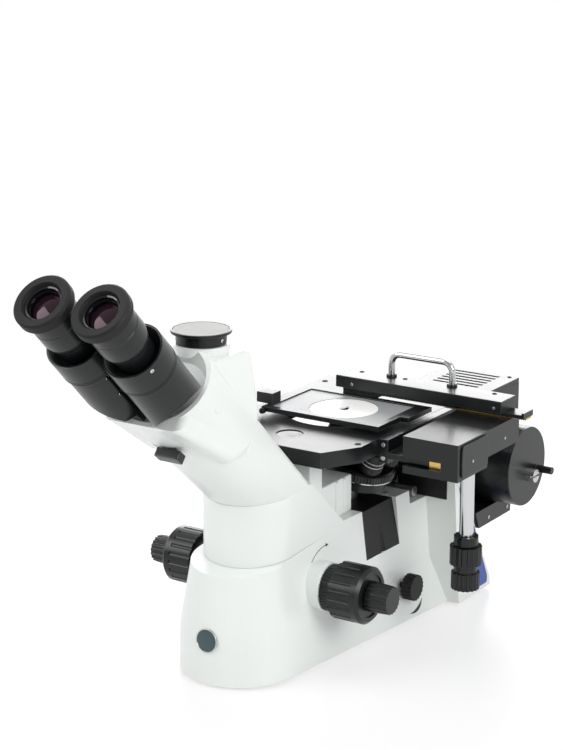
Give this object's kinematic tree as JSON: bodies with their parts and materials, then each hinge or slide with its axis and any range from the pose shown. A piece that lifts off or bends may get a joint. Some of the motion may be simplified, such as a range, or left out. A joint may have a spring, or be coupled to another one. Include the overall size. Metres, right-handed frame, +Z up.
{
  "type": "inverted microscope",
  "caption": "Inverted reflected-light microscope with angled binocular head, photo port, mechanical stage with drop-down coaxial drive, side focus knobs and rear lamp house.",
  "frame": {"origin": "the optical axis of the stage, on the bench plane", "axes": "+Z up, -Y to the user and the eyepieces, +Y to the lamp, +X to the user's right, where the stage drive hangs"},
  "size_m": [0.324, 0.6532, 0.4271],
  "materials": {
    "white_paint": "semi-gloss white enamel",
    "black_paint": "satin black anodised or painted metal",
    "black_plastic": "fine-grained black plastic",
    "rubber": "black rubber",
    "satin_metal": "satin nickel",
    "chrome": "polished",
    "brass": "milled brass",
    "pale_plastic": "pale grey",
    "glass": "coated lens glass"
  },
  "bodies": {
    "stand": {"base_casting": "white_paint", "bottom_plate": "satin_metal", "rubber_feet": "rubber", "front_arm": "white_paint", "rear_column": "white_paint", "stage_front_post": "white_paint", "stage_rear_post": "black_paint", "bay_cover": "black_paint", "illuminator_tube": "black_paint", "power_inlet": "black_plastic", "focus_guide": "satin_metal", "head_housing": "white_paint", "port_adapter": "black_paint", "port_cap": "pale_plastic", "bino_hub": "black_paint", "stage_plate": "black_paint", "side_rail": "black_paint", "y_rack": "brass", "lamp_beam": "black_paint", "lamp_drum": "black_paint", "lamp_end_cover": "satin_metal", "lamp_cover_knob": "chrome", "lamp_house": "black_paint", "lamp_vent_cover": "black_paint", "halogen_lamp": "glass"},
    "right_arm": {"prism_house_right": "black_paint", "tube_ring_right": "black_paint", "eyepiece_right": "black_paint", "eyecup_right": "rubber", "eye_lens_right": "glass"},
    "left_arm": {"prism_house_left": "black_paint", "eyepiece_left": "black_paint", "eyecup_left": "rubber", "eye_lens_left": "glass"},
    "dioptre_ring": {"tube_ring_left": "black_paint"},
    "light_path_lever": {"path_lever": "black_plastic"},
    "nosepiece_carrier": {"focus_carrier": "satin_metal", "nosepiece_mount": "black_paint"},
    "turret": {"nosepiece_turret": "black_paint", "objectives": "satin_metal"},
    "coarse_focus": {"coarse_knob_right": "black_plastic", "coarse_knob_left": "black_plastic"},
    "fine_focus": {"fine_knob_right": "black_plastic", "fine_knob_left": "black_plastic"},
    "tension": {"tension_ring": "black_plastic"},
    "carriage": {"y_carriage": "black_paint", "carriage_cover": "satin_metal", "drive_tube": "chrome", "drive_collar": "black_paint"},
    "cross_slide": {"x_rail": "brass", "x_rack": "brass", "x_bar": "black_paint", "bar_handle": "chrome", "specimen_holder": "black_paint", "insert_disc": "pale_plastic", "holder_clamp": "black_paint"},
    "y_drive": {"y_knob": "black_plastic"},
    "x_drive": {"x_knob": "black_plastic"},
    "intensity": {"intensity_knob": "black_plastic"},
    "filter": {"filter_slider": "black_plastic"}
  },
  "joints": [
    {"name": "arm_right", "type": "hinge", "parent": "stand", "child": "right_arm", "pos_m": [0, -0.413, 0.425], "axis": [0, -0.7071, 0.7071], "range_deg": [-3, 31]},
    {"name": "arm_left", "type": "hinge", "parent": "stand", "child": "left_arm", "pos_m": [0, -0.413, 0.425], "axis": [0, -0.7071, 0.7071], "range_deg": [-31, 3]},
    {"name": "dioptre_turn", "type": "hinge", "parent": "left_arm", "child": "dioptre_ring", "pos_m": [-0.0305, -0.42856, 0.40944], "axis": [0, -0.7071, 0.7071], "range_deg": [-90, 90]},
    {"name": "path_shift", "type": "slide", "parent": "stand", "child": "light_path_lever", "axis": [1, 0, 0], "range_m": [-0.018, 0]},
    {"name": "focus_travel", "type": "slide", "parent": "stand", "child": "nosepiece_carrier", "axis": [0, 0, 1], "range_m": [-0.006, 0.0025]},
    {"name": "coarse_turn", "type": "hinge", "parent": "stand", "child": "coarse_focus", "pos_m": [0, -0.1245, 0.079], "axis": [1, 0, 0], "range_deg": [-57.5, 24]},
    {"name": "fine_turn", "type": "hinge", "parent": "stand", "child": "fine_focus", "pos_m": [0, -0.1245, 0.079], "axis": [1, 0, 0], "continuous": true},
    {"name": "tension_turn", "type": "hinge", "parent": "stand", "child": "tension", "pos_m": [0.07, -0.1245, 0.079], "axis": [1, 0, 0], "range_deg": [0, 60]},
    {"name": "turret_turn", "type": "hinge", "parent": "nosepiece_carrier", "child": "turret", "pos_m": [0.024, 0, 0.168], "axis": [0.2588, 0, 0.9659], "continuous": true},
    {"name": "y_travel", "type": "slide", "parent": "stand", "child": "carriage", "axis": [0, 1, 0], "range_m": [-0.009, 0.031]},
    {"name": "y_knob_turn", "type": "hinge", "parent": "carriage", "child": "y_drive", "pos_m": [0.162, -0.027, 0.1], "axis": [0, 0, 1], "range_deg": [-59, 202]},
    {"name": "x_travel", "type": "slide", "parent": "carriage", "child": "cross_slide", "axis": [1, 0, 0], "range_m": [-0.042, 0.018]},
    {"name": "x_knob_turn", "type": "hinge", "parent": "carriage", "child": "x_drive", "pos_m": [0.162, -0.027, 0.08], "axis": [0, 0, 1], "range_deg": [-241, 104]},
    {"name": "intensity_turn", "type": "hinge", "parent": "stand", "child": "intensity", "pos_m": [0.077, 0.015, 0.037], "axis": [1, 0, 0], "range_deg": [0, 270]},
    {"name": "filter_pull", "type": "slide", "parent": "stand", "child": "filter", "axis": [1, 0, 0], "range_m": [0, 0.025]}
  ],
  "couplings": [
    {"joint": "arm_left", "follows": "arm_right", "ratio": -1},
    {"joint": "coarse_turn", "follows": "focus_travel", "rad_per_m": 166.67},
    {"joint": "y_knob_turn", "follows": "y_travel", "rad_per_m": 113.64},
    {"joint": "x_knob_turn", "follows": "x_travel", "rad_per_m": 100}
  ]
}
